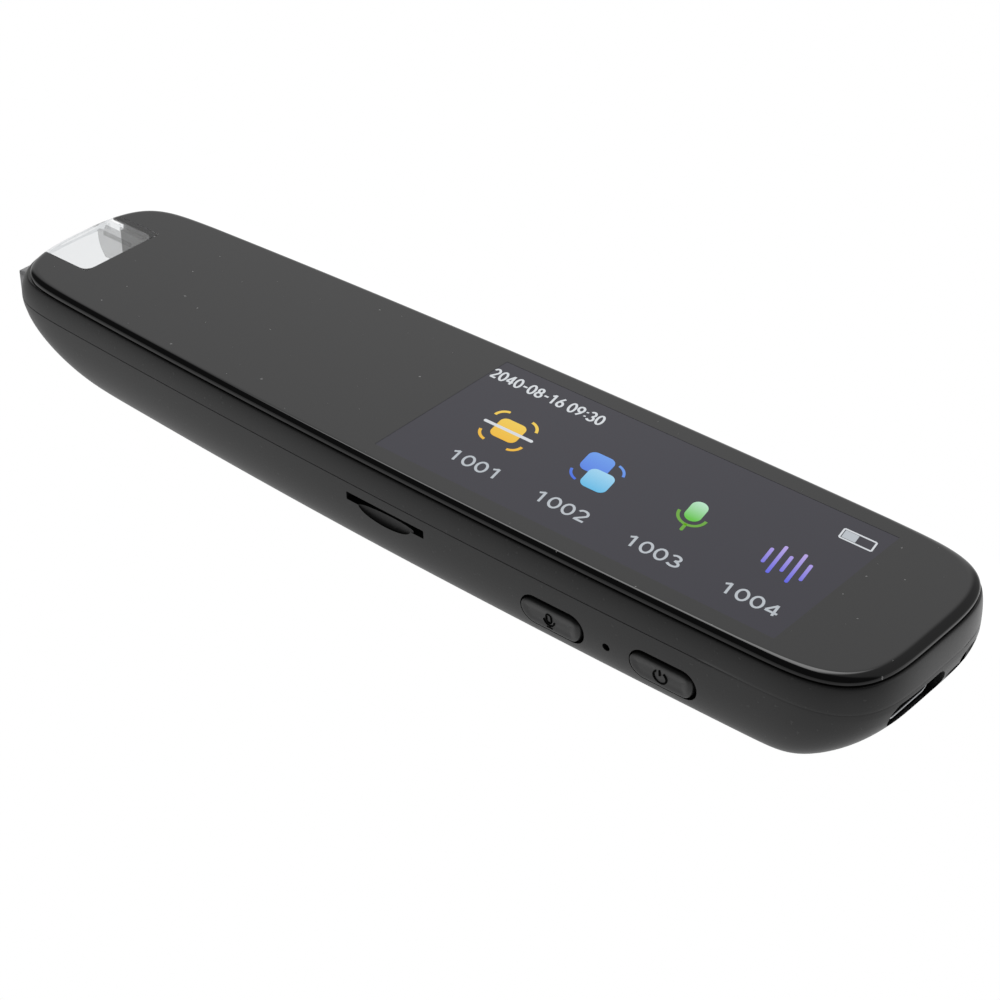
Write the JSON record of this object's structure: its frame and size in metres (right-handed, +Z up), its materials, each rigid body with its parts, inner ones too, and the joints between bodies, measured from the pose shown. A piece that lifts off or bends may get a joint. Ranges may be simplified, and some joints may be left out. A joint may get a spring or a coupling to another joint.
{
  "type": "scanning pen",
  "caption": "Slim handheld scanning pen with a full-length glass face, colour display, side keys, card slot, charging port and a sprung clear scanning nose.",
  "frame": {"origin": "centre of the overall box in plan, at the underside the pen lies on", "axes": "+X from the scanning nose to the end with the charging port, +Y away from the side with the keys, +Z up through the glass face"},
  "size_m": [0.1484, 0.0332, 0.0145],
  "materials": {
    "cover_glass": "polished black-backed cover glass, rounded edge",
    "print_film": "black print behind the glass",
    "black_plastic": "satin black moulded plastic",
    "clear_plastic": "smoky clear moulded plastic",
    "pale_plastic": "pale matte moulded plastic",
    "black_rubber": "soft black rubber and glue",
    "circuit_board": "green solder resist",
    "amber_film": "amber flexible film",
    "bright_steel": "bright plated steel",
    "chip_black": "moulded black package",
    "cell_foil": "dull foil pouch",
    "display_glass": "glossy display layers",
    "red_wire": "red insulation",
    "lamp_resin": "pale lamp resin"
  },
  "bodies": {
    "case": {"cover_glass": "cover_glass", "print_film": "print_film", "upper_housing": "black_plastic", "lower_housing": "black_plastic", "camera_holder": "black_plastic", "scan_chute": "pale_plastic", "lcd_backlight": "pale_plastic", "battery_socket": "pale_plastic", "glass_glue": "black_rubber", "speaker_gasket": "black_rubber", "mic_boot": "black_rubber", "main_board": "circuit_board", "key_board": "circuit_board", "camera_board": "circuit_board", "lamp_board": "circuit_board", "lcd_flex": "amber_film", "touch_flex": "amber_film", "key_flex": "amber_film", "antenna_film": "amber_film", "lcd_tray": "bright_steel", "shield_can": "bright_steel", "radio_can": "bright_steel", "card_socket": "bright_steel", "usb_shell": "bright_steel", "function_switch": "bright_steel", "power_switch": "bright_steel", "nib_switch": "bright_steel", "microphone": "bright_steel", "key_bracket": "bright_steel", "board_screw_1": "bright_steel", "board_screw_2": "bright_steel", "board_screw_3": "bright_steel", "board_screw_4": "bright_steel", "processor_chip": "chip_black", "memory_chip": "chip_black", "lcd_connector": "chip_black", "touch_connector": "chip_black", "usb_insulator": "chip_black", "speaker": "chip_black", "camera_barrel": "chip_black", "battery_wire_black": "chip_black", "battery": "cell_foil", "battery_tape": "cell_foil", "touch_sensor": "display_glass", "lcd_panel": "display_glass", "camera_lens": "display_glass", "battery_wire_red": "red_wire", "lamp_near": "lamp_resin", "lamp_far": "lamp_resin"},
    "head": {"press_head": "clear_plastic", "nib_switch_plunger": "chip_black"},
    "function_key": {"function_button": "black_plastic", "function_switch_plunger": "chip_black"},
    "power_key": {"power_button": "black_plastic", "power_switch_plunger": "chip_black"}
  },
  "joints": [
    {"name": "head_press", "type": "slide", "parent": "case", "child": "head", "axis": [1, 0, 0], "range_m": [0, 0.0004], "stiffness_N_per_m": 1500, "springref_m": -0.0004},
    {"name": "function_press", "type": "slide", "parent": "case", "child": "function_key", "axis": [0, 1, 0], "range_m": [0, 0.0003], "stiffness_N_per_m": 2500, "springref_m": -0.0003},
    {"name": "power_press", "type": "slide", "parent": "case", "child": "power_key", "axis": [0, 1, 0], "range_m": [0, 0.0003], "stiffness_N_per_m": 2500, "springref_m": -0.0003}
  ]
}
